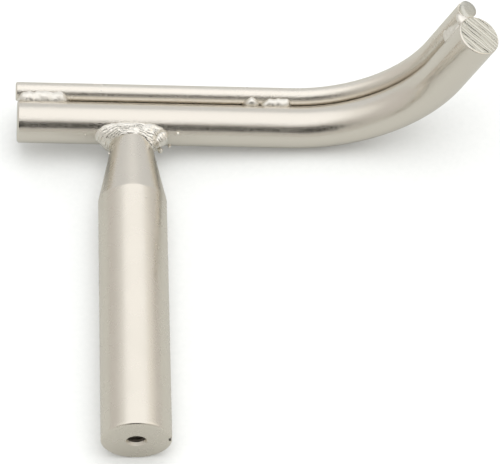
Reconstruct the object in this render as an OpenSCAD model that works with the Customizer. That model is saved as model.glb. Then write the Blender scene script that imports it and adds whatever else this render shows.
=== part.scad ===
// Welded round bar bracket. A round post with a tapped end carries a round bar across its
// other end. The bar's long side bends away in a quarter turn, and a thin round rod is
// tacked along the whole bar, bend included. Everything is nickel plated after welding.
// The origin is the middle of the post's tapped end face. The post runs along +Y, the bar
// along X, and the bend rises towards +Z.

/* [Main bar] */
// Diameter of the bent bar
bar_d = 10; // [8:0.5:14]
// Bar from the post's axis to its plain end
bar_left = 27; // [22:1:45]
// Straight bar from the post's axis to the start of the bend
bar_right = 38; // [36:1:80]
// Radius of the bend at the bar's middle
bend_r = 36; // [24:1:60]
// Angle that the bend turns through
bend_angle = 70; // [40:1:90]
// Straight bar after the bend
bar_tail = 16.5; // [12:0.5:40]
// Chamfer on the bar's plain end
bar_chamfer = 0.4; // [0.2:0.1:1]

/* [Side rod] */
// Diameter of the thin rod
rod_d = 4.5; // [3:0.25:6]
// Turn of the rod round the bar, from straight opposite the post towards the bend's inside
rod_turn = 20; // [0:1:40]
// Gap left between the rod and the bar when they are clamped for welding
rod_gap = 0.05; // [0.02:0.01:0.15]
// Chamfer on the rod's ends
rod_chamfer = 0.4; // [0.2:0.1:0.8]

/* [Post] */
// Diameter of the post
post_d = 16; // [14:0.5:20]
// Post from its tapped end face to the surface of the bar
post_len = 80; // [50:1:140]
// Length of the cone that narrows the post towards the bar
cone_len = 17; // [12:1:30]
// Diameter of the cone's narrow end
cone_tip_d = 9; // [7:0.5:11]
// Gap under the bar when the post is set up for welding
root_gap = 0.1; // [0.05:0.05:0.3]
// Chamfer round the tapped end face
post_chamfer = 0.3; // [0.1:0.1:1]

/* [Tapped hole] */
// Diameter of the hole drilled for the M4 thread
tap_drill_d = 3.3; // [2.5:0.1:6.8]
// Depth of the drilled hole, without its pointed end
hole_depth = 14; // [8:1:30]
// Depth of the countersink at the mouth of the hole
countersink = 0.45; // [0.2:0.05:1]

/* [Welds] */
// Reach of the post's weld along the cone
post_weld_leg = 2.4; // [1.5:0.1:5]
// Reach of the post's weld along the bar, past the narrow end of the cone
post_weld_spread = 4.6; // [3:0.1:7]
// Height of the post's weld over the narrow end of the cone
post_weld_crown = 0.5; // [0.3:0.1:1]
// Angle round the bar at which the post's weld ends, from the side that faces the post
post_weld_turn = 60; // [45:1:70]
// Thickness of the weld beads that join the rod to the bar
bead_d = 2.3; // [1.5:0.1:3]
// Thickness of the lumps in those beads
lump_d = 2.7; // [1.8:0.1:3.4]
// Length of the weld at the bar's plain end
plain_weld_len = 12; // [8:0.5:18]
// Place of the single weld drop, from the post's axis
drop_place = 28.4; // [20:0.1:29]
// Start of the middle weld bead, from the post's axis
middle_bead_start = 31; // [30.5:0.1:32]
// Length of the middle weld bead
middle_bead_len = 6.6; // [4:0.2:12]
// Length of the weld at the bent end, without the last drop
bent_weld_len = 7; // [5:0.5:9]
// Height of the biggest drop of weld spatter
spatter_d = 1.1; // [0.6:0.1:1.6]

/* [Hidden] */
$fn = 96;
plate = "#c9c3b8";
weld_plate = "#b7b2a8";
// Point angle of a twist drill
drill_point = 118;
bar_r = bar_d / 2;
bar_y = post_len + bar_r;
// The rod's middle, measured from the bar's middle
rod_reach = bar_r + rod_gap + rod_d / 2;
rod_away = rod_reach * cos(rod_turn);
rod_up = rod_reach * sin(rod_turn);
// The run after the bend starts this far inside it and is this much thinner all round,
// so that the two join as one closed solid with no sliver between them
run_lap = 0.05;
run_step = 0.01;
// The welds' middle in the groove between the rod and the bar
groove_along = bar_r + rod_gap / 2;
groove_above = 0.85 * rod_d / 2;
groove_away = groove_along * cos(rod_turn) - groove_above * sin(rod_turn);
groove_up = groove_along * sin(rod_turn) + groove_above * cos(rod_turn);

// Radius of the post's cone at a distance y from the tapped end face
function cone_radius(y) =
    cone_tip_d / 2 + (post_len - y) / cone_len * (post_d - cone_tip_d) / 2;

// Puts its children in the frame of the straight bar after the bend, which runs along X
module at_tail() {
    translate([bar_right, bar_y, bend_r])
        rotate([0, -bend_angle, 0])
            translate([0, 0, -bend_r]) children();
}

// A round bar along X, with a chamfer at its start
module chamfered_run(d, length, chamfer) {
    rotate([0, 90, 0]) {
        cylinder(h = chamfer, d1 = d - 2 * chamfer, d2 = d);
        translate([0, 0, chamfer]) cylinder(h = length - chamfer, d = d);
    }
}

// A round bar that follows the bent line, set away from the post and up into the bend.
// Its plain end and its bent end have chamfers of their own
module bent_run(d, away, up, plain_chamfer, bent_chamfer) {
    translate([-bar_left, bar_y + away, up])
        chamfered_run(d, bar_left + bar_right, plain_chamfer);
    translate([bar_right, bar_y, bend_r])
        rotate([90, 0, 0]) rotate([0, 0, -90])
            rotate_extrude(angle = bend_angle)
                translate([bend_r - up, -away]) circle(d = d);
    at_tail()
        translate([bar_tail, away, up])
            mirror([1, 0, 0])
                chamfered_run(d - 2 * run_step, bar_tail + run_lap, bent_chamfer);
}

// The bar's bent end is left as the saw cut it, with only its burr broken
module bar_solid() {
    bent_run(bar_d, 0, 0, bar_chamfer, 0.1);
}

module rod_solid() {
    bent_run(rod_d, rod_away, rod_up, rod_chamfer, rod_chamfer);
}

module post_solid() {
    end_r = post_d / 2;
    tip_y = post_len - root_gap;
    drill_r = tap_drill_d / 2;
    point_y = hole_depth + drill_r / tan(drill_point / 2);
    rotate([-90, 0, 0]) rotate_extrude()
        polygon([
            [drill_r + countersink, 0],
            [end_r - post_chamfer, 0],
            [end_r, post_chamfer],
            [end_r, post_len - cone_len],
            [cone_radius(tip_y), tip_y],
            [0, tip_y],
            [0, point_y],
            [drill_r, hole_depth],
            [drill_r, countersink]
        ]);
}

module main_bar() {
    color(plate) bar_solid();
}

module side_rod() {
    color(plate) rod_solid();
}

module post() {
    color(plate) post_solid();
}

// The fillet weld all round the cone's narrow end. A cone and a short cylinder give its
// round outline, and the side outline ends it on the bar
module post_weld() {
    toe_y = post_len - post_weld_leg;
    shoulder_y = post_len + 0.4;
    top_y = bar_y - bar_r * cos(post_weld_turn);
    toe_r = cone_radius(toe_y) + 0.1;
    top_r = cone_tip_d / 2 + post_weld_spread;
    crown_z = cone_tip_d / 2 + post_weld_crown;
    top_z = bar_r * sin(post_weld_turn) + 0.15;
    side = [[toe_y, toe_r], [post_len, crown_z], [top_y, top_z]];
    color(weld_plate)
        difference() {
            intersection() {
                rotate([-90, 0, 0]) {
                    translate([0, 0, toe_y])
                        cylinder(h = shoulder_y - toe_y, r1 = toe_r, r2 = top_r);
                    translate([0, 0, shoulder_y]) cylinder(h = top_y - shoulder_y, r = top_r);
                }
                translate([-post_d, 0, 0]) rotate([90, 0, 90]) linear_extrude(2 * post_d)
                    polygon(concat(side, [for (i = [2 : -1 : 0]) [side[i][0], -side[i][1]]]));
            }
            bar_solid();
            post_solid();
        }
}

// A weld bead along X with lumps, laid in the groove between the rod and the bar.
// It starts at X = 0 and is cut to fit both
module groove_bead(length, lumps) {
    reach = length - lump_d;
    translate([lump_d / 2, groove_away, groove_up]) {
        rotate([0, 90, 0]) cylinder(h = reach, d = bead_d);
        for (i = [0 : lumps - 1])
            translate([reach * i / (lumps - 1), 0, 0]) sphere(d = lump_d);
    }
}

module plain_end_weld() {
    color(weld_plate)
        difference() {
            translate([-bar_left, bar_y, 0]) groove_bead(plain_weld_len, 4);
            bar_solid();
            rod_solid();
        }
}

module middle_weld_drop() {
    color(weld_plate)
        difference() {
            translate([drop_place, bar_y + groove_away, groove_up]) sphere(d = lump_d);
            bar_solid();
            rod_solid();
        }
}

module middle_weld_bead() {
    color(weld_plate)
        difference() {
            translate([middle_bead_start, bar_y, 0]) groove_bead(middle_bead_len, 3);
            bar_solid();
            rod_solid();
        }
}

// The weld at the bent end stops short of the last drop
module bent_end_weld() {
    color(weld_plate)
        difference() {
            at_tail()
                translate([bar_tail - lump_d - bent_weld_len, 0, 0])
                    groove_bead(bent_weld_len, 3);
            bar_solid();
            rod_solid();
        }
}

// The last drop, between the two end faces
module tip_weld() {
    color(weld_plate)
        difference() {
            at_tail()
                translate([bar_tail - lump_d / 2, groove_away, groove_up])
                    sphere(d = lump_d);
            bar_solid();
            rod_solid();
        }
}

// A drop of spatter: a ball of the given share of the full size, sunk a quarter of its
// height into a surface that lies at Z = 0
module spatter_drop(share) {
    translate([0, 0, share * spatter_d / 4]) sphere(d = share * spatter_d);
}

// Drops of metal thrown off the post's weld: three on the bar and three on the cone
module weld_spatter() {
    // Place along the bar, turn round the bar from the post's side, share of full size
    on_bar = [[11.2, 28, 0.8], [10.2, 2, 0.7], [-11, 22, 0.6]];
    // Distance from the bar's surface, turn round the post from +X, share of full size
    on_post = [[3.7, 10, 1], [5.3, 4, 0.7], [4.2, 170, 0.6]];
    color(weld_plate) {
        difference() {
            for (drop = on_bar)
                translate([drop[0], bar_y, 0]) rotate([90 - drop[1], 0, 0])
                    translate([0, 0, bar_r]) spatter_drop(drop[2]);
            bar_solid();
        }
        difference() {
            for (drop = on_post)
                translate([0, post_len - drop[0], 0]) rotate([0, 90 - drop[1], 0])
                    translate([0, 0, cone_radius(post_len - drop[0])]) spatter_drop(drop[2]);
            post_solid();
        }
    }
}

main_bar();
side_rod();
post();
post_weld();
plain_end_weld();
middle_weld_drop();
middle_weld_bead();
bent_end_weld();
tip_weld();
weld_spatter();
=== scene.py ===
# %% [markdown]
# # A welded bracket of round bar
# The object is three pieces of round steel: a turned post, a bent bar across its end, and a
# thin rod tacked along the bar. Weld metal joins them, and one coat of nickel covers it all.
# The CAD model fixes every size. This script reads it, and gives each piece the surface that
# the saw, the lathe, the welding arc and the plating bath left on it.

# %% Load the frame
import math

import bmesh
import bpy
import numpy as np
from mathutils import Matrix, Vector, noise


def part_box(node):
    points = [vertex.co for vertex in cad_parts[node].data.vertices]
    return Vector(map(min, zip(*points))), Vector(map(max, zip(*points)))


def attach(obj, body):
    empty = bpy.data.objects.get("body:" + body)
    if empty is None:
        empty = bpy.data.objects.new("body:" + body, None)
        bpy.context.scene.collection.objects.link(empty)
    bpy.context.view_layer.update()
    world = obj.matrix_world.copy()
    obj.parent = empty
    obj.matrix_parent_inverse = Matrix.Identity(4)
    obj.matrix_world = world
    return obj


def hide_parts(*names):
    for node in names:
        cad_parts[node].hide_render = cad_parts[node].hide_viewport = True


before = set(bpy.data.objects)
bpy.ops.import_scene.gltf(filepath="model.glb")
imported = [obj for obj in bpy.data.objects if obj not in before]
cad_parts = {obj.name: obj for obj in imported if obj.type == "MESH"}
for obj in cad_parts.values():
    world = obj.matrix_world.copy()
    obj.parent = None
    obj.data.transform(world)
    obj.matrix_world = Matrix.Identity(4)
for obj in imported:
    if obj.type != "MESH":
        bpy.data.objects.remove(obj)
scene = bpy.context.scene
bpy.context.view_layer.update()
print("nodes:", sorted(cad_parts))

# %% [markdown]
# ## Sizes from the frame
# Meshes are worked out in millimetres, which suit the drawing of a small part, and turned
# into metres when they are made. Each size below is read from a node's box. Only the bend
# can't be read from a box, so its radius, angle and place are named here, and the bar's box
# then shows whether they are right.

# %% Sizes
MM = 0.001


def box_mm(node):
    """The lowest and highest corner of a CAD node, in millimetres."""
    return [np.array(corner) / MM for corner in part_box(node)]


post_low, post_high = box_mm("post")
bar_low, bar_high = box_mm("main_bar")
rod_low, rod_high = box_mm("side_rod")
post_r = (post_high[0] - post_low[0]) / 2
bar_r = -bar_low[2]
bar_y = (bar_low[1] + bar_high[1]) / 2
bar_left = -bar_low[0]
rod_r = (rod_high[1] - rod_low[1]) / 2
post_len = bar_y - bar_r

bar_right = 38.0
bend_r = 36.0
bend_angle = math.radians(70)
bar_tail = 16.5
bend_len = bend_r * bend_angle
bar_end = bar_right + bend_len + bar_tail
reach = bar_right + bend_r * math.sin(bend_angle) + bar_tail * math.cos(bend_angle)
reach += bar_r * math.sin(bend_angle)
print(f"bar end at {reach:.2f} mm by the bend's sizes, {bar_high[0]:.2f} mm in the frame")

# %% [markdown]
# The rod lies against the bar on the side away from the post, turned a little towards the
# inside of the bend. Its place across the bar is the same at every point along the bar, so
# the rod, the bar and the welds between them can share one straight drawing, bent later.

# %% The rod's place across the bar
rod_turn = math.radians(20)
rod_gap = 0.05
rod_reach = bar_r + rod_gap + rod_r
# Unit steps from the bar's middle: towards the rod, and square to that on the open side
to_rod = np.array([math.cos(rod_turn), math.sin(rod_turn)])
to_open = np.array([-math.sin(rod_turn), math.cos(rod_turn)])
print("rod reaches", round(bar_y + (to_rod * rod_reach)[0] + rod_r, 2), "mm, CAD", rod_high[1])

# %% [markdown]
# ## Helpers
# `make_piece` turns a list of rings of points into a closed mesh. Every piece here is a
# stack of rings: a bar has one ring at each step of its length, and a weld bead one at each
# step along its seam. An end closes in a single point, called a pole. Normals are worked
# out again from the closed shape, so that every face points outwards.

# %% Rings to a mesh
def make_piece(name, rings, start_pole=None, end_pole=None, loop=False, sharp=40):
    """A closed mesh from rings of points in mm. A loop of rings joins its last to its first."""
    rings = np.asarray(rings, float)
    count, around, _ = rings.shape
    points = [tuple(p) for p in rings.reshape(-1, 3) * MM]
    faces = []
    for i in range(count if loop else count - 1):
        a = i * around
        b = ((i + 1) % count) * around
        for j in range(around):
            k = (j + 1) % around
            faces.append((a + j, a + k, b + k, b + j))
    for pole, last in ((start_pole, 0), (end_pole, count - 1)):
        if pole is not None:
            points.append(tuple(np.asarray(pole, float) * MM))
            base = last * around
            for j in range(around):
                faces.append((base + j, base + (j + 1) % around, len(points) - 1))
    mesh = bpy.data.meshes.new(name)
    mesh.from_pydata(points, [], faces)
    work = bmesh.new()
    work.from_mesh(mesh)
    bmesh.ops.recalc_face_normals(work, faces=work.faces)
    work.to_mesh(mesh)
    work.free()
    mesh.polygons.foreach_set("use_smooth", [True] * len(mesh.polygons))
    mesh.set_sharp_from_angle(angle=math.radians(sharp))
    piece = bpy.data.objects.new(name, mesh)
    scene.collection.objects.link(piece)
    return piece


# %% [markdown]
# The next two helpers are for node trees. `add_node` adds any node with its settings, its
# values and its links in one call. `hex_colour` turns a colour that is written as on a
# paint card, in sRGB, into the linear numbers that a renderer adds and multiplies. The last
# one, `rough_noise`, is for everything that is meant to look made by hand: it adds a few
# layers of smooth noise, each with half the size and half the height of the one before.

# %% Node, colour and noise helpers
def add_node(tree, kind, settings=None, **inputs):
    """Adds a node. An input is a value or another node's output socket."""
    node = tree.nodes.new(kind)
    for key, value in (settings or {}).items():
        setattr(node, key, value)
    for key, value in inputs.items():
        name = key.replace("_", " ")
        socket = node.inputs[int(name[2:])] if name.startswith("in") else node.inputs[name]
        if isinstance(value, bpy.types.NodeSocket):
            tree.links.new(value, socket)
        else:
            socket.default_value = value
    return node


def hex_colour(text):
    """Linear red, green, blue and alpha from an sRGB colour such as #c9c3b8."""
    parts = [int(text[i : i + 2], 16) / 255 for i in (1, 3, 5)]
    return [p / 12.92 if p <= 0.04045 else ((p + 0.055) / 1.055) ** 2.4 for p in parts] + [1]


def rough_noise(point, size, octaves=2):
    """Smooth noise from -1 to 1 with bumps of about that size in mm."""
    total = 0.0
    for i in range(octaves):
        scale = 2**i / size
        total += noise.noise(Vector(point) * scale + Vector((7.3 * i, 0, 0))) / 2**i
    return total


# %% [markdown]
# ## Materials: satin nickel
# Nickel is a warm grey metal. Plated on drawn or turned bar that was tumbled first, it
# gives soft reflections with a fine grain: under a sharp light the edge of a reflection
# breaks up into specks. So the metal is one constant colour and the detail is all in its
# roughness and in two bumps: a grain of a few tenths of a millimetre, and long faint draw
# lines that run along the bar. The grain is drawn at about twice its real size, because
# the real one is too fine to show in a picture of the whole part.
#
# Each finish gets its own numbers. The bar was drawn and buffed, so it mirrors most sharply
# and shows a crisp dark stripe. Turned and sawn faces are duller, and weld metal is palest,
# because its small bumps turn light to the eye from all sides.

# %% Nickel on drawn, turned and sawn steel
# Size in mm of the slightly duller and shinier patches of any plated surface
patch_size = 6


def nickel(name, colour, roughness, grain, grain_size, lines=0.0, stretch=(1, 1, 1), own=False):
    """Nickel plate. Grain and lines are depths in mm, and stretch is the lines' own scales.

    With own, the pattern follows the metal round the bend by the attribute named straight.
    """
    material = bpy.data.materials.new(name)
    material.use_nodes = True
    tree = material.node_tree
    tree.nodes.clear()
    if own:
        place = add_node(tree, "ShaderNodeAttribute", {"attribute_name": "straight"})
        where = place.outputs["Vector"]
    else:
        where = add_node(tree, "ShaderNodeTexCoord").outputs["Object"]
    fine = add_node(
        tree, "ShaderNodeTexNoise", Vector=where, Scale=1 / (grain_size * MM), Detail=2.0
    )
    patchy = add_node(
        tree, "ShaderNodeTexNoise", Vector=where, Scale=1 / (patch_size * MM), Detail=3.0
    )
    rough = add_node(
        tree, "ShaderNodeMapRange", Value=patchy.outputs["Fac"], From_Min=0.3, From_Max=0.7,
        To_Min=roughness * 0.85, To_Max=roughness * 1.2,
    )
    # Only the peaks of the noise stand up, so that smooth metal is left between the grains
    peaks = add_node(
        tree, "ShaderNodeMapRange", Value=fine.outputs["Fac"], From_Min=0.46, From_Max=0.7
    )
    bump = add_node(
        tree, "ShaderNodeBump", Height=peaks.outputs["Result"], Strength=1.0,
        Distance=grain * MM,
    )
    normal = bump.outputs["Normal"]
    if lines:
        along = add_node(tree, "ShaderNodeMapping", Vector=where, Scale=stretch)
        drawn = add_node(
            tree, "ShaderNodeTexNoise", Vector=along.outputs["Vector"], Scale=1.0, Detail=4.0
        )
        scored = add_node(
            tree, "ShaderNodeBump", Height=drawn.outputs["Fac"], Strength=1.0,
            Distance=lines * MM, Normal=normal,
        )
        normal = scored.outputs["Normal"]
    metal = add_node(
        tree, "ShaderNodeBsdfPrincipled", Base_Color=hex_colour(colour), Metallic=1.0,
        Roughness=rough.outputs["Result"], Normal=normal,
    )
    add_node(tree, "ShaderNodeOutputMaterial", Surface=metal.outputs["BSDF"])
    return material


# Draw lines: about 17 mm long and 0.4 mm apart
draw_lines = (60, 2500, 2500)
drawn_nickel = nickel(
    "satin nickel plate on drawn steel bar", "#e2ddd4", 0.07, 0.016, 0.2,
    lines=0.005, stretch=draw_lines, own=True,
)
wire_nickel = nickel(
    "satin nickel plate on drawn wire", "#e9e4db", 0.24, 0.018, 0.2,
    lines=0.004, stretch=draw_lines, own=True,
)
turned_nickel = nickel("satin nickel plate on turned steel", "#e0dbd1", 0.27, 0.006, 0.4)
sawn_nickel = nickel("nickel plate on a sawn end", "#d5d3c9", 0.22, 0.006, 0.3)
cropped_nickel = nickel("nickel plate on a cropped end", "#c8c7be", 0.26, 0.018, 0.5)
weld_nickel = nickel("nickel plate over weld metal", "#efece5", 0.25, 0.02, 0.3)
tack_nickel = nickel("nickel plate over small tack welds", "#f0ede6", 0.36, 0.02, 0.3)
# Painted shade: this dark colour stands in for the shade deep in the tapped hole, and the chip's
# bare steel gets it too
hole_shade_and_chip_steel = nickel("dark oily steel in a tapped hole", "#5b554e", 0.42, 0.006, 0.3)
print("materials:", [material.name for material in bpy.data.materials])

# %% [markdown]
# ## One bend for everything that lies along the bar
# The bar, the rod and the welds between them are drawn straight, along X, and then bent
# together. Geometry Nodes are the right tool for that: a tree of a few sums moves each
# point of any mesh that is fed to it. Past the start of the bend a point keeps its place
# across the bar, turns with it about the bend's centre, and after the bend goes straight on.
# The tree first stores where the point was, so that a pattern can follow the bent metal.

# %% The bending tree
def bending_tree():
    """The tree that bends what it is fed in the XZ plane, past a place along X."""
    tree = bpy.data.node_groups.new("Bend along the bar", "GeometryNodeTree")
    face = tree.interface
    face.new_socket("Geometry", in_out="INPUT", socket_type="NodeSocketGeometry")
    for name in ("Bend start", "Bend radius", "Bend angle"):
        face.new_socket(name, in_out="INPUT", socket_type="NodeSocketFloat")
    face.new_socket("Material", in_out="INPUT", socket_type="NodeSocketMaterial")
    face.new_socket("Geometry", in_out="OUTPUT", socket_type="NodeSocketGeometry")
    given = tree.nodes.new("NodeGroupInput").outputs
    start, radius, angle = given["Bend start"], given["Bend radius"], given["Bend angle"]

    def sum_of(operation, *values):
        """One sum of the tree. A value is a number or another sum's result."""
        node = add_node(tree, "ShaderNodeMath", {"operation": operation})
        for socket, value in zip(node.inputs, values):
            if isinstance(value, bpy.types.NodeSocket):
                tree.links.new(value, socket)
            else:
                socket.default_value = value
        return node.outputs[0]

    place = add_node(tree, "GeometryNodeInputPosition").outputs["Position"]
    x, y, z = add_node(tree, "ShaderNodeSeparateXYZ", Vector=place).outputs
    past = sum_of("SUBTRACT", x, start)
    turned = sum_of("MAXIMUM", sum_of("MINIMUM", sum_of("DIVIDE", past, radius), angle), 0.0)
    beyond = sum_of("MAXIMUM", sum_of("SUBTRACT", past, sum_of("MULTIPLY", radius, angle)), 0.0)
    arm = sum_of("SUBTRACT", radius, z)
    sine, cosine = sum_of("SINE", turned), sum_of("COSINE", turned)
    new_x = sum_of("ADD", sum_of("MINIMUM", x, start), sum_of("MULTIPLY", arm, sine))
    new_x = sum_of("ADD", new_x, sum_of("MULTIPLY", beyond, cosine))
    new_z = sum_of("SUBTRACT", radius, sum_of("MULTIPLY", arm, cosine))
    new_z = sum_of("ADD", new_z, sum_of("MULTIPLY", beyond, sine))
    bent = add_node(tree, "ShaderNodeCombineXYZ", X=new_x, Y=y, Z=new_z).outputs["Vector"]
    kept = add_node(
        tree, "GeometryNodeStoreNamedAttribute", {"data_type": "FLOAT_VECTOR", "domain": "POINT"},
        Geometry=given["Geometry"], Name="straight", Value=place,
    )
    moved = add_node(
        tree, "GeometryNodeSetPosition", Geometry=kept.outputs["Geometry"], Position=bent
    )
    real = add_node(tree, "GeometryNodeRealizeInstances", Geometry=moved.outputs["Geometry"])
    done = add_node(
        tree, "GeometryNodeSetMaterial", Geometry=real.outputs["Geometry"],
        Material=given["Material"],
    )
    out = tree.nodes.new("NodeGroupOutput")
    tree.links.new(done.outputs["Geometry"], out.inputs["Geometry"])
    return tree


# %% [markdown]
# A modifier's inputs are set by each socket's identifier. The finished result is copied
# into a plain mesh and the modifier taken off, so that what is left is simple to export.

# %% Use a tree on a piece
def grow(piece, tree, **values):
    """Runs a geometry tree on a piece and keeps its result as the piece's own mesh."""
    modifier = piece.modifiers.new(tree.name, "NODES")
    modifier.node_group = tree
    for item in tree.interface.items_tree:
        key = item.name.replace(" ", "_").lower()
        if item.in_out == "INPUT" and key in values:
            modifier[item.identifier] = values[key]
    graph = bpy.context.evaluated_depsgraph_get()
    graph.update()
    result = bpy.data.meshes.new_from_object(
        piece.evaluated_get(graph), preserve_all_data_layers=True, depsgraph=graph
    )
    piece.modifiers.clear()
    piece.data = result
    return piece


bend_tree = bending_tree()


def bend(piece, material):
    """Bends a piece that was drawn straight, and gives it its material."""
    return grow(
        piece, bend_tree, bend_start=bar_right * MM, bend_radius=bend_r * MM,
        bend_angle=bend_angle, material=material,
    )


# %% [markdown]
# ## The bar
# The bar is 10 mm round bar. Its plain end is turned with a small chamfer. The bent end
# was cut by a saw after bending and never dressed: its face has the saw's parallel lines,
# and its edge is rolled over where the blade broke through. Both are cut into the mesh,
# because they change the outline and catch the light from any side.

# %% Rings across the bar
def turns_of(around):
    """The turn of each point of a ring, from the side away from the post."""
    return np.linspace(0, 2 * math.pi, around, endpoint=False)


def ring(x, radius, turns, middle=(0, 0)):
    """A ring across the bar at x. Middle is its place away from the post and up."""
    return np.stack(
        [
            np.broadcast_to(np.asarray(x, float), turns.shape),
            bar_y + middle[0] + radius * np.cos(turns),
            middle[1] + radius * np.sin(turns),
        ],
        axis=1,
    )


# %% [markdown]
# The saw's lines are grooves about 0.9 mm apart with finer ones between them. Each line
# wanders a little and is deeper in one place than in another, as the blade was pushed by
# hand. The edge is rolled back on one side only.

# %% The saw's marks
saw_turn = math.radians(57)
saw_pitch = 0.92
saw_depth = 0.17
groove_width = 0.12
fine_lines = 2.6
fine_share = 0.35


def saw_mark(y, z):
    """Depth in mm of the saw's lines at a place on the sawn face."""
    across = -y * math.sin(saw_turn) + z * math.cos(saw_turn)
    along = y * math.cos(saw_turn) + z * math.sin(saw_turn)
    line = across / saw_pitch + 0.35 * rough_noise((along * 0.3, across, 3.0), 2.2)
    groove = math.exp(-((((line % 1) - 0.5) / groove_width) ** 2))
    groove += fine_share * math.exp(-((((line * fine_lines % 1) - 0.5) / 0.3) ** 2))
    strength = 0.75 + 0.5 * rough_noise((math.floor(line) * 1.7, along * 0.15, 0.0), 1.3)
    return saw_depth * groove * max(0.15, strength) + 0.012 * rough_noise((y, z, 9.0), 0.5)


roll_side = math.radians(140)
roll_inward = 0.6
roll_back = 0.36


def roll_over(turn):
    """How far the edge is rolled back at a turn round the bar, as a share of the most."""
    nearness = max(0.0, math.cos(turn - roll_side)) ** 0.8
    return nearness * (0.9 + 0.3 * rough_noise((turn * 4, 0, 0), 1.0))


# %% [markdown]
# The rings run from the middle of the plain face, over its chamfer, along the bar about a
# millimetre apart, over the sawn edge and back in to the middle of the sawn face.

# %% Build the bar
bar_turns = turns_of(240)
bar_chamfer = 0.4
face_rings = 64
rings = [ring(-bar_left, r, bar_turns) for r in (1.5, 3.0, bar_r - bar_chamfer - 0.15)]
rings.append(ring(-bar_left + 0.02, bar_r - bar_chamfer, bar_turns))
rings.append(ring(-bar_left + bar_chamfer - 0.04, bar_r - 0.02, bar_turns))
rings += [
    ring(x, bar_r, bar_turns) for x in np.arange(-bar_left + bar_chamfer + 0.06, bar_end - 0.5, 1.0)
]
roll = np.array([roll_over(turn) for turn in bar_turns])
edge_r = bar_r - 0.04 - roll_inward * roll
# Each step over the sawn edge: the share of the roll's depth, and the share of its width
for down, inward in ((1.0, 0.0), (0.7, 0.04), (0.42, 0.18), (0.2, 0.5), (0.07, 0.8)):
    edge_x = bar_end - (0.02 + roll_back * roll) * down
    rings.append(ring(edge_x, bar_r - (bar_r - edge_r) * inward, bar_turns))
# The cut's own finish starts on the last two of these
face_start = (len(rings) - 2) * len(bar_turns)
for share in np.linspace(1, 0.02, face_rings):
    face = ring(bar_end, edge_r * share, bar_turns)
    # The lines fade out just before the rim, so that the rim itself stays smooth
    fade = min(1.0, (1 - share) * 30)
    face[:, 0] -= fade * np.array([saw_mark(p[1] - bar_y, p[2]) for p in face])
    rings.append(face)
bar = make_piece(
    "main_bar_nickel", rings, (-bar_left, bar_y, 0), (bar_end - saw_mark(0, 0), bar_y, 0), sharp=32
)


# %% [markdown]
# A cut face has a duller finish than the drawn skin. Its faces are the last ones of the
# mesh, so they are picked before the bend by their number and their place.

# %% Bend the bar and finish its cut end
def finish_cut(piece, material, first, start, cut_material):
    """Bends a piece, and gives the faces of its cut end, from the first on, their finish."""
    cut = [f.index for f in piece.data.polygons if f.index >= first and f.center.x > start * MM]
    bend(piece, material)
    piece.data.materials.append(cut_material)
    for index in cut:
        piece.data.polygons[index].material_index = 1
    print(piece.name, len(piece.data.polygons), "faces,", len(cut), "of them cut")


finish_cut(bar, drawn_nickel, face_start, bar_end - 0.6, sawn_nickel)

# %% [markdown]
# ## The rod
# The rod is 4.5 mm drawn wire, bent with the bar in the same press, so it follows the same
# curve a little inside it. Its plain end is lightly chamfered. Its bent end was cropped after
# bending, which rolled over the edge on the side where the blade went in. Each ring of the
# bent end has its place along the rod, its radius, and its share of that roll.

# %% Build the rod
rod_turns = turns_of(128)
rod_middle = to_rod * rod_reach
rod_overhang = 0.4
rod_left = bar_left + rod_overhang
rings = [
    ring(-rod_left + along, radius, rod_turns, rod_middle)
    for along, radius in ((0, 0.8), (0, rod_r - 0.45), (0.02, rod_r - 0.3), (0.27, rod_r - 0.02))
]
rings += [
    ring(x, rod_r, rod_turns, rod_middle) for x in np.arange(-rod_left + 0.35, bar_end - 1.2, 1.0)
]
crop_side = math.radians(100)
rolled = np.maximum(0, np.cos(rod_turns - crop_side)) ** 1.5
for along, radius, share in (
    (-0.8, rod_r, 0.0), (-0.5, rod_r, 0.12), (-0.2, rod_r, 0.5), (-0.03, rod_r, 0.95),
    (0.0, rod_r - 0.05, 1.0), (0.02, rod_r - 0.5, 0.35), (0.03, rod_r - 0.9, 0.08),
    (0.03, rod_r - 1.4, 0.0), (0.03, 0.4, 0.0),
):
    pull_back = 0.8 * share * rolled
    pull_in = 0.35 * share * rolled
    rings.append(ring(bar_end + along - pull_back, radius - pull_in, rod_turns, rod_middle))
rod = make_piece(
    "side_rod_nickel", rings, (-rod_left, bar_y + rod_middle[0], rod_middle[1]),
    (bar_end + 0.03, bar_y + rod_middle[0], rod_middle[1]), sharp=35,
)
# The last five rings lie on the cropped face
rod_face = (len(rings) - 5) * len(rod_turns)
finish_cut(rod, wire_nickel, rod_face, bar_end - 1.0, cropped_nickel)

# %% [markdown]
# ## The post
# The post is turned from 16 mm bar. A lathe can only make rings, so the mesh is rings too:
# a faced end, a small chamfer, the plain shank, a crisp shoulder and the cone. The M4
# thread in its end is cut as well. A thread is a groove whose depth depends on how far in
# and how far round a point is, so each point of the hole's wall gets its own radius.

# %% Rings of the post
cone_len = 17.0
shank_end = post_len - cone_len
tip_r = 4.5
thread_pitch = 0.7
thread_depth = 0.35
tap_r = 1.65
mouth_r = 2.35
hole_depth = 14.0
threaded = 12.0
post_turns = turns_of(160)


def post_ring(y, radius):
    """A ring round the post. Radius is one number, or one for each point."""
    x, z = radius * np.cos(post_turns), radius * np.sin(post_turns)
    return np.stack([x, np.full(x.shape, y), z], axis=1)


def cone_radius(back):
    """Radius of the cone at a distance back from its narrow end."""
    return tip_r + back / cone_len * (post_r - tip_r)


def hole_radius(y):
    """Radii of the countersunk, tapped hole at depth y, one for each point of a ring."""
    turn = (y / thread_pitch - post_turns / (2 * math.pi)) % 1
    groove = np.clip(1 - np.abs(turn - 0.5) / 0.42, 0, 1)
    depth = thread_depth * min(1.0, max(0.0, (threaded - y) / 1.5))
    return np.maximum(tap_r + depth * groove, mouth_r - 0.5 * y)


# %% [markdown]
# A knock has left a small dent on the rim of the faced end and chipped the plate off it. The
# rings near the rim are pushed in over a short arc there.

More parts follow.
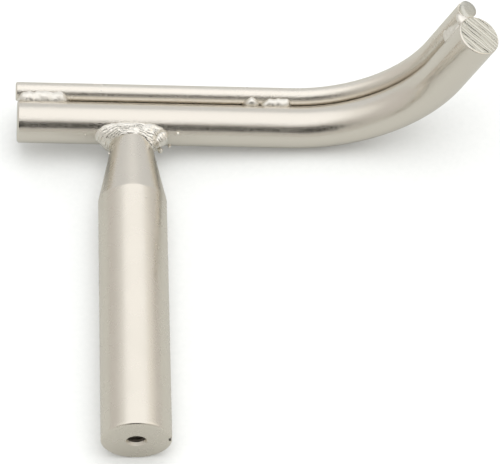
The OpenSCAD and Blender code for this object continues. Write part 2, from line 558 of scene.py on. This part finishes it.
# %% Rings with the dent
dent_turn = math.radians(7)
dent_width = 0.1
chip_width = 0.075


def dented(points, depth):
    """Pushes a ring in over a short arc on its +X side."""
    off = np.angle(np.exp(1j * (post_turns - dent_turn)))
    push = depth * np.exp(-((off / dent_width) ** 2))
    points[:, 0] -= push * np.cos(post_turns)
    points[:, 2] -= push * np.sin(post_turns)
    return points


# %% [markdown]
# The rings start at the bottom of the hole, come out along the thread, cross the end face,
# and go on along the outside to the narrow end of the cone. The hole ends in the cone that
# a drill's point leaves.

# %% Build the post
drill_half_angle = math.radians(59)
drill_tip = hole_depth + tap_r / math.tan(drill_half_angle)
thread_step = 0.0875
rings = [post_ring(hole_depth, 0.9), post_ring(hole_depth - 0.01, tap_r)]
rings += [post_ring(y, hole_radius(y)) for y in np.arange(hole_depth - 0.1, 0.02, -thread_step)]
rings += [post_ring(0.0, r) for r in (mouth_r, mouth_r + 0.15, 4.0, 6.0, 7.2)]
rings += [post_ring(0.0, post_r - 0.34), post_ring(0.03, post_r - 0.27)]
rings += [dented(post_ring(0.27, post_r - 0.03), 0.6), dented(post_ring(0.34, post_r), 0.62)]
rings += [dented(post_ring(0.9, post_r), 0.4), dented(post_ring(1.2, post_r), 0.05)]
rings += [post_ring(y, post_r) for y in np.linspace(4, shank_end - 0.4, 20)]
rings += [post_ring(shank_end - 0.08, post_r), post_ring(shank_end + 0.08, post_r - 0.02)]
rings += [
    post_ring(y, cone_radius(post_len - y)) for y in np.linspace(shank_end + 0.6, post_high[1], 12)
]
post = make_piece("post_nickel", rings, (0, drill_tip, 0), (0, post_high[1], 0), sharp=30)
print("post:", len(post.data.polygons), "faces, thread pitch", thread_pitch, "mm")

# %% [markdown]
# The faces deep in the tapped hole get a dark colour, which is painted shade in the hole.
# No plate is left in the chip, so its faces get the same dark colour as bare steel.
# Both are found by where they lie.

# %% Finish the post
post.data.materials.append(turned_nickel)
post.data.materials.append(hole_shade_and_chip_steel)
for face in post.data.polygons:
    x, y, z = face.center / MM
    # Painted shade on the faces deep in the hole, and bare steel in the chip
    in_thread = 0.75 < y < 20 and math.hypot(x, z) < 2.1
    in_dent = y < 0.8 and x > 7.1 and abs(math.atan2(z, x) - dent_turn) < chip_width
    face.material_index = int(in_thread or in_dent)
print("bare steel on", sum(face.material_index for face in post.data.polygons), "faces")

# %% [markdown]
# ## The post's weld
# This is a fillet run by hand all round the post. It starts on the cone, swells, and ends on
# the bar in an outline that is squarer than an ellipse. Each pass left ridges that run round
# the joint, and where the welder stopped there is a round blob. The surface is a strip from
# the toe on the cone to the toe on the bar. Behind it the strip dips into the metal, and
# that closes the ring.

# %% The two toes of the fillet
def bell(turn, middle, width):
    """1 at the middle turn, falling to 0 on both sides of it. Both are in degrees."""
    off = (math.degrees(turn) - middle + 180) % 360 - 180
    return math.exp(-((off / width) ** 2))


def power(value, exponent):
    """A power that keeps the value's sign. It squares off a cosine or a sine."""
    return math.copysign(abs(value) ** exponent, value)


def cone_toe(turn):
    """The weld's edge on the cone, at a turn round the post."""
    y = post_len - 1.9 + 0.9 * math.sin(turn) - 1.7 * bell(turn, 28, 24)
    y += 0.15 * rough_noise((turn * 3, 0, 0), 1.0)
    radius = cone_radius(post_len - y) - 0.04
    return np.array([radius * math.cos(turn), y, radius * math.sin(turn)])


def bar_toe(turn):
    """The weld's edge on the bar, at a turn round the post."""
    wobble = 1 + 0.02 * rough_noise((turn * 5, 4.0, 0), 1.0)
    under = max(0.0, -math.sin(turn))
    x = (8.8 - 1.6 * under**0.5) * wobble * power(math.cos(turn), 0.72)
    z = 4.4 * wobble * power(math.sin(turn), 0.8) + 0.9 * math.cos(turn) ** 2
    z = max(-0.94 * bar_r, min(0.94 * bar_r, z))
    return np.array([x, bar_y - math.sqrt(bar_r**2 - z**2) + 0.03, z])


# %% [markdown]
# The ridges are waves across the strip that wander as they go round. The welder set off
# again at the right, so that there a round lobe lies over the end of the run, with a dark
# crease at its foot.

# %% The fillet's surface
ridges = 8.5
ridge_height = 0.06
# The lobe's place and half size, in degrees round the post and in shares of the strip
lobe_turn = 21.0
lobe_step = 0.6
lobe_half_turn = 18
lobe_half_step = 0.4
lobe_height = 0.95
crease_depth = 0.55


def fillet_lift(turn, step, point):
    """Height of the weld's surface over the straight strip, in mm."""
    hump = math.sin(math.pi * step) ** 0.7
    lift = (0.36 + 0.2 * bell(turn, 160, 40)) * (1 - 0.6 * max(0.0, -math.sin(turn))) * hump
    wander = 0.95 * rough_noise((turn * 2.1, step * 1.7, 0), 1.0)
    strength = 0.8 + 1.4 * rough_noise((turn * 3.1, step * 2.5, 5.0), 1.0)
    wave = 2 * math.pi * (ridges * step + wander)
    lift += ridge_height * hump * strength * (math.sin(wave) - 0.35 * math.cos(2 * wave))
    lift += 0.26 * hump * rough_noise(point, 1.9) + 0.06 * hump * rough_noise(point, 0.55)
    off = (math.degrees(turn) - lobe_turn + 180) % 360 - 180
    off = math.hypot(off / lobe_half_turn, (step - lobe_step) / lobe_half_step)
    lift += lobe_height * math.exp(-(off**4))
    return lift - crease_depth * math.exp(-(((off - 1.15) / 0.12) ** 2))


# %% [markdown]
# At each turn the strip runs from toe to toe, and is pushed out square to itself. Close to
# both toes the push fades, so that the weld's edge sinks into the metal and leaves no gap.

# %% Build the fillet
fillet_turns = 480
fillet_steps = 64
rings = []
for turn in turns_of(fillet_turns):
    low, high = cone_toe(turn), bar_toe(turn)
    chord = high - low
    before, after = turn - 0.02, turn + 0.02
    side = bar_toe(after) - bar_toe(before) + cone_toe(after) - cone_toe(before)
    out = np.cross(chord, side)
    out /= np.linalg.norm(out)
    if out @ np.array([math.cos(turn), -0.5, math.sin(turn)]) < 0:
        out = -out
    strip = []
    for step in np.linspace(0, 1, fillet_steps):
        point = low + chord * step
        edge = min(1.0, 12 * step, 12 * (1 - step))
        strip.append(point + out * (fillet_lift(turn, step, point) * edge - 0.05 * (1 - edge)))
    inside = 0.55 * low + np.array([0, 0.45 * (post_len + 1.0), 0])
    strip += [high * np.array([0.7, 1, 0.6]) + np.array([0, 1.2, 0]), inside]
    rings.append(strip)
post_fillet = make_piece("post_weld_fillet", rings, loop=True, sharp=75)
post_fillet.data.materials.append(weld_nickel)
print("post weld:", len(post_fillet.data.polygons), "faces")

# %% [markdown]
# ## The welds between rod and bar
# Each is a short run in the groove where the two round pieces meet. In section it spans from
# a toe on the bar to a toe on the rod and bulges a little. Along its length it rises and
# falls in lumps, one for each touch of the arc, and at its ends it sinks into the groove.
# One function draws them all straight, and the bending tree takes them round the bend. Each
# strip of the mesh is one section of the run: a row of points from toe to toe, and one
# behind them in the groove.

# %% A run of weld in the groove
section_points = 20
# How far a touch of the arc is felt along the run, in mm
lump_reach = 2.3


def groove_weld(name, start, length, lumps, rod_toes, bar_toe_turn, crown, blunt, seed, fine):
    """A weld run from start, in mm along the straight bar. The toes are turns in degrees.

    The rod's toe has two turns, one for each end. Lumps are the places of the arc's touches,
    as shares of the length. A greater blunt makes the ends squarer, and crown and fine are
    the heights in mm of the bulge and of the small bumps on it.
    """
    coarse = min(0.2, 2.6 * fine)
    rings = []
    for share in np.linspace(0.004, 0.996, max(30, int(length * 11))):
        x = start + share * length
        end = (1 - abs(2 * share - 1) ** blunt) ** 0.5
        lump = max(math.exp(-(((share - at) * length / lump_reach) ** 2)) for at in lumps)
        wander = 1 + 0.12 * rough_noise((x, seed, 0), 1.6)
        rod_toe = rod_toes[0] + (rod_toes[1] - rod_toes[0]) * share
        a = math.radians(bar_toe_turn) * end * (0.88 + 0.12 * lump) * wander
        b = math.radians(rod_toe) * end * (0.8 + 0.2 * lump) / wander
        on_bar = to_rod * bar_r * math.cos(a) + to_open * bar_r * math.sin(a)
        on_rod = to_rod * (rod_reach - rod_r * math.cos(b)) + to_open * rod_r * math.sin(b)
        chord = on_rod - on_bar
        out = np.array([-chord[1], chord[0]]) / max(1e-6, np.linalg.norm(chord))
        strip = []
        for step in np.linspace(0, 1, section_points):
            place = on_bar + chord * step
            hump = math.sin(math.pi * step) ** 0.7
            rise = crown * end * hump * (0.45 + 0.55 * lump)
            rise += end * hump * coarse * rough_noise((x, *place), 1.5)
            rise += end * hump * fine * rough_noise((x, *place), 0.7)
            edge = place + out * (rise - 0.04)
            strip.append((x, bar_y + edge[0], edge[1]))
        under = to_rod * (bar_r + rod_gap / 2) - to_open * 0.1
        strip.append((x, bar_y + under[0], under[1]))
        rings.append(strip)
    poles = [np.mean(rings[i], axis=0) for i in (0, -1)]
    return bend(make_piece(name, rings, *poles, sharp=75), tack_nickel)


# %% [markdown]
# From the plain end to the bent end: a lumpy tack of three touches, a drop, a short bead,
# the fill on the straight run after the bend, and the last drop between the cut ends.

# %% Build the five runs
tail_start = bar_right + bend_len
groove_welds = {
    "plain_end_weld": groove_weld(
        "plain_end_tack", -bar_left - 0.1, 12.3, (0.17, 0.5, 0.82), (82, 86), 31, 0.5, 6, 1.0, 0.05
    ),
    "middle_weld_drop": groove_weld(
        "middle_tack_drop", 26.5, 4.1, (0.5,), (70, 72), 27, 0.62, 2.2, 2.0, 0.015
    ),
    "middle_weld_bead": groove_weld(
        "middle_tack_bead", 30.6, 7.5, (0.35, 0.62, 0.9), (56, 78), 28, 0.46, 5, 3.0, 0.012
    ),
    "bent_end_weld": groove_weld(
        "bent_end_fill", tail_start + 7.0, 7.7, (0.1, 0.45, 0.8), (84, 52), 40, 0.2, 7, 4.0, 0.2
    ),
    "tip_weld": groove_weld(
        "tip_tack", tail_start + 13.9, 2.4, (0.5,), (76, 84), 36, 0.45, 3, 5.0, 0.05
    ),
}
for node, piece in groove_welds.items():
    print(node, "->", piece.name, len(piece.data.polygons), "faces")

# %% [markdown]
# ## Weld spatter
# The arc throws off drops that freeze where they land. They are all one shape, a ball partly
# sunk in the metal, in several sizes, which is a job for instances: the tree puts a small
# ball on each point of a mesh, as big as that point's own number says, and roughens it a
# little.

# %% The spatter tree
def spatter_tree():
    """The tree that sets a ball on each point, sized by the point's own attribute."""
    tree = bpy.data.node_groups.new("Drops on points", "GeometryNodeTree")
    face = tree.interface
    face.new_socket("Geometry", in_out="INPUT", socket_type="NodeSocketGeometry")
    for name in ("Drop radius", "Roughness", "Seed"):
        face.new_socket(name, in_out="INPUT", socket_type="NodeSocketFloat")
    face.new_socket("Material", in_out="INPUT", socket_type="NodeSocketMaterial")
    face.new_socket("Geometry", in_out="OUTPUT", socket_type="NodeSocketGeometry")
    given = tree.nodes.new("NodeGroupInput").outputs
    size = add_node(tree, "GeometryNodeInputNamedAttribute", {"data_type": "FLOAT"}, Name="size")
    ball = add_node(
        tree, "GeometryNodeMeshIcoSphere", Radius=given["Drop radius"], Subdivisions=4
    )
    drops = add_node(
        tree, "GeometryNodeInstanceOnPoints", Points=given["Geometry"],
        Instance=ball.outputs["Mesh"], Scale=size.outputs["Attribute"],
    )
    real = add_node(tree, "GeometryNodeRealizeInstances", Geometry=drops.outputs["Instances"])
    lumpy = add_node(
        tree, "ShaderNodeTexNoise", {"noise_dimensions": "4D"}, W=given["Seed"],
        Scale=1.4 / MM, Detail=1.0,
    )
    centred = add_node(
        tree, "ShaderNodeVectorMath", {"operation": "SUBTRACT"}, in0=lumpy.outputs["Color"],
        in1=(0.5, 0.5, 0.5),
    )
    push = add_node(
        tree, "ShaderNodeVectorMath", {"operation": "SCALE"}, in0=centred.outputs["Vector"],
        Scale=given["Roughness"],
    )
    rough = add_node(
        tree, "GeometryNodeSetPosition", Geometry=real.outputs["Geometry"],
        Offset=push.outputs["Vector"],
    )
    done = add_node(
        tree, "GeometryNodeSetMaterial", Geometry=rough.outputs["Geometry"],
        Material=given["Material"],
    )
    out = tree.nodes.new("NodeGroupOutput")
    tree.links.new(done.outputs["Geometry"], out.inputs["Geometry"])
    return tree


# %% [markdown]
# The biggest drops are close to where the CAD model has them. A few specks round them are too
# small for it. Each of them lands at a random place on the bar, to the left or right of the
# weld, from a fixed seed.

# %% Place the drops
drop_r = 0.55
drops = []
# On the bar: place along it, turn round it from the post's side, share of the full size
for x, turn, share in ((10.8, 33, 0.75), (9.1, -24, 0.75), (-11.0, 22, 0.35)):
    a = math.radians(turn)
    out = bar_r + share * drop_r / 2
    drops.append(((x, bar_y - out * math.cos(a), out * math.sin(a)), share))
# The biggest one hangs on the flank of the fillet, at its right
drops.append(((6.85, post_len - 1.7, -1.1), 1.2))
# On the post: distance back from the bar, turn round it from +X, share of the full size
for back, turn, share in ((5.3, -4, 0.5), (4.2, 170, 0.5), (20.3, 70, 0.35)):
    a = math.radians(turn)
    out = min(post_r, cone_radius(back)) + share * drop_r / 3
    drops.append(((out * math.cos(a), post_len - back, out * math.sin(a)), share))
print("drops placed by hand:", len(drops))

# %% Scatter the specks
weld_half = 9.8
chance = np.random.default_rng(7)
for _ in range(16):
    x = chance.normal(0, 9)
    a = math.radians(chance.uniform(-40, 65))
    share = chance.uniform(0.1, 0.24)
    if abs(x) > weld_half:
        drops.append(((x, bar_y - bar_r * math.cos(a), bar_r * math.sin(a)), share))
print("drops and specks:", len(drops))

# %% Grow the spatter
seeds = bpy.data.meshes.new("spatter_points")
seeds.from_pydata([tuple(np.array(place) * MM) for place, _ in drops], [], [])
seeds.attributes.new("size", "FLOAT", "POINT").data.foreach_set("value", [s for _, s in drops])
spatter = bpy.data.objects.new("weld_spatter_drops", seeds)
scene.collection.objects.link(spatter)
grow(
    spatter, spatter_tree(), drop_radius=drop_r * MM, roughness=0.25 * MM, seed=3.0,
    material=weld_nickel,
)
spatter.data.polygons.foreach_set("use_smooth", [True] * len(spatter.data.polygons))
print("spatter:", len(drops), "drops,", len(spatter.data.polygons), "faces")

# %% [markdown]
# ## Join the pieces to the frame
# The bracket is rigid, so the frame has one body, and every piece rides on it. Each piece
# stands for the CAD node that it was drawn from.

# %% Ride and replace
stands_for = {
    "main_bar": bar,
    "side_rod": rod,
    "post": post,
    "post_weld": post_fillet,
    "weld_spatter": spatter,
    **groove_welds,
}
for node, piece in stands_for.items():
    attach(piece, "root")
    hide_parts(node)
print("pieces:", len(stands_for))

# %% [markdown]
# ## Camera
# A long lens about 0.7 m away, above the post and a little to its left, and turned a few
# degrees so that the bar runs level across the picture.

# %% Camera
view_target = Vector((27.28, 55.41, 0.0)) * MM
view_distance = 732.4 * MM
view_azimuth = math.radians(-10.02)
view_height = math.radians(57.68)
view_roll = math.radians(9.54)
back = Vector(
    (
        math.sin(view_azimuth) * math.cos(view_height),
        -math.cos(view_azimuth) * math.cos(view_height),
        math.sin(view_height),
    )
)
level = Vector((0, 0, 1)).cross(back).normalized()
upright = back.cross(level)
right = math.cos(view_roll) * level + math.sin(view_roll) * upright
up = back.cross(right)
camera = bpy.data.objects.new("camera", bpy.data.cameras.new("camera"))
camera.data.sensor_width = 36.0
camera.data.lens = 226.5
camera.matrix_world = Matrix.Translation(view_target + back * view_distance) @ Matrix(
    (right, up, back)
).transposed().to_4x4()
camera.data.clip_end = 20.0
scene.collection.objects.link(camera)
scene.camera = camera
print("camera at", [round(c, 3) for c in camera.location])

# %% [markdown]
# ## Floor
# The bracket rests on the underside of its post and on the start of the bend, so its straight
# bar stands clear of the table at the plain end. The tilt of the table follows from the
# two radii: it touches the post, and the outside of the bend, at their lowest points.

# %% Floor
bend_out = bend_r + bar_r
span = math.hypot(bend_r, bar_right)
rest_tilt = math.acos((bend_out - post_r) / span) - math.atan2(bar_right, bend_r)
floor_size = 3.0
floor_mesh = bpy.data.meshes.new("table")
half = floor_size / 2
floor_mesh.from_pydata(
    [(-half, -half, 0), (half, -half, 0), (half, half, 0), (-half, half, 0)], [], [(0, 1, 2, 3)]
)
floor_mesh.transform(Matrix.Rotation(-rest_tilt, 4, "Y") @ Matrix.Translation((0, 0, -post_r * MM)))
floor = bpy.data.objects.new("table", floor_mesh)
scene.collection.objects.link(floor)
print(f"the bracket rests rolled by {math.degrees(rest_tilt):.2f} degrees")

# %% [markdown]
# The table is white paper. Paper under a soft light is a little darker than white in a
# picture, so a little light is added to it for the camera, and in what the metal mirrors.
# The object's shadow still shows. In what the metal mirrors, the paper is painted a warmer
# and darker grey: a painted reflection, which stands in for the shade of a table whose far
# parts lie outside the light.

# %% Floor material
paper = bpy.data.materials.new("white paper")
paper.use_nodes = True
tree = paper.node_tree
tree.nodes.clear()
where = add_node(tree, "ShaderNodeTexCoord").outputs["Object"]
fibre = add_node(tree, "ShaderNodeTexNoise", Vector=where, Scale=900.0, Detail=3.0)
tone = add_node(
    tree, "ShaderNodeMix", {"data_type": "RGBA"}, in0=fibre.outputs["Fac"],
    in6=hex_colour("#e6e9e9"), in7=hex_colour("#eef0f0"),
)
rays = add_node(tree, "ShaderNodeLightPath").outputs
mirrored = add_node(
    tree, "ShaderNodeMath", {"operation": "MAXIMUM"}, in0=rays["Is Glossy Ray"],
    in1=rays["Is Transmission Ray"],
)
# Painted reflection: what the metal mirrors of the paper is this darker, warmer grey
shade = add_node(
    tree, "ShaderNodeMix", {"data_type": "RGBA"}, in0=mirrored.outputs[0], in6=tone.outputs[2],
    in7=hex_colour("#bdbeba"),
)
sheet = add_node(tree, "ShaderNodeBsdfDiffuse", Color=shade.outputs[2])
shown = add_node(
    tree, "ShaderNodeMath", {"operation": "MAXIMUM"}, in0=rays["Is Camera Ray"],
    in1=mirrored.outputs[0],
)
paper_lift = 0.1
lift = add_node(
    tree, "ShaderNodeMath", {"operation": "MULTIPLY"}, in0=shown.outputs[0], in1=paper_lift
)
glow = add_node(
    tree, "ShaderNodeEmission", Color=hex_colour("#ffffff"), Strength=lift.outputs[0]
)
both = add_node(tree, "ShaderNodeAddShader", in0=sheet.outputs[0], in1=glow.outputs[0])
add_node(tree, "ShaderNodeOutputMaterial", Surface=both.outputs[0])
floor_mesh.materials.append(paper)

# %% [markdown]
# ## Light
# Small shiny metal is lit by what it mirrors. The world is a light tent: a broad bright panel
# overhead, dimmer sides, and one dark opening where the camera looks in, which is the
# dark stripe along the bar. Each panel is a round soft-edged patch, laid over the ones
# before it. To the camera the world is plain white.

# %% The tent
world = bpy.data.worlds.new("light tent")
scene.world = world
world.use_nodes = True
tree = world.node_tree
tree.nodes.clear()
toward = add_node(tree, "ShaderNodeTexCoord").outputs["Generated"]


def panel(below, name, azimuth, height, half_angle, edge, colour, level):
    """Lays a soft round panel over a colour. Azimuth 0 is the far side and 90 is +X."""
    azimuth, height = math.radians(azimuth), math.radians(height)
    centre = (
        math.sin(azimuth) * math.cos(height),
        math.cos(azimuth) * math.cos(height),
        math.sin(height),
    )
    near = add_node(
        tree, "ShaderNodeVectorMath", {"operation": "DOT_PRODUCT"}, in0=toward, in1=centre
    )
    angle = add_node(
        tree, "ShaderNodeMath", {"operation": "ARCCOSINE"}, in0=near.outputs["Value"]
    )
    cover = add_node(
        tree, "ShaderNodeMapRange", {"interpolation_type": "SMOOTHSTEP"},
        Value=angle.outputs[0], From_Min=math.radians(half_angle - edge),
        From_Max=math.radians(half_angle + edge), To_Min=1.0, To_Max=0.0,
    )
    mixed = add_node(
        tree, "ShaderNodeMix", {"data_type": "RGBA"}, in0=cover.outputs["Result"],
        in7=[c * level for c in hex_colour(colour)[:3]] + [1],
    )
    mixed.label = name
    if isinstance(below, bpy.types.NodeSocket):
        tree.links.new(below, mixed.inputs[6])
    else:
        mixed.inputs[6].default_value = below
    return mixed.outputs[2]


# %% [markdown]
# The level of a panel is how bright it is, where 1 is white. The tent's cloth itself is a
# warm grey. The two low panels are what the metal mirrors just above the table.

# %% Hang the panels
# Each panel: the name of its place, azimuth, height, half angle, soft edge, colour, level
panels = [
    ("low front", 180, 14, 50, 8, "#fffcf4", 0.62),
    ("low back", 0, 15, 48, 10, "#ffffff", 0.75),
    ("upper right", 80, 50, 25, 10, "#fffaf0", 1.14),
    ("upper left", 280, 50, 25, 10, "#fffdf8", 0.96),
    ("overhead", 0, 76, 38, 8, "#fffefd", 1.23),
    ("camera's opening", 188, 40, 19, 1.5, "#ffffff", 0.0),
]
cloth_level = 0.67
tent = [c * cloth_level for c in hex_colour("#fffaf5")[:3]] + [1]
for row in panels:
    tent = panel(tent, *row)
plain = add_node(tree, "ShaderNodeBackground", Color=hex_colour("#ffffff"), Strength=1.0)
lit = add_node(tree, "ShaderNodeBackground", Color=tent, Strength=1.0)
by_eye = add_node(tree, "ShaderNodeLightPath").outputs["Is Camera Ray"]
pick = add_node(
    tree, "ShaderNodeMixShader", in0=by_eye, in1=lit.outputs[0], in2=plain.outputs[0]
)
add_node(tree, "ShaderNodeOutputWorld", Surface=pick.outputs[0])
print("panels:", [row[0] for row in panels])

# %% [markdown]
# One soft lamp straight above the bracket draws the dark line of shadow close under the
# bar. It lights the table, and the metal doesn't mirror it, as with a lamp behind a screen.
# The view transform is Standard, so that a colour is shown as it was written.

# %% Lamp
lamp = bpy.data.objects.new("soft lamp", bpy.data.lights.new("soft lamp", "AREA"))
lamp.data.shape = "DISK"
lamp.data.size = 0.75
lamp.data.energy = 3.0
lamp.location = (0.03, 0.02, 0.85)
aim = Vector((0.03, 0.06, 0)) - lamp.location
lamp.rotation_euler = aim.to_track_quat("-Z", "Y").to_euler()
lamp.visible_glossy = False
scene.collection.objects.link(lamp)
scene.view_settings.view_transform = "Standard"
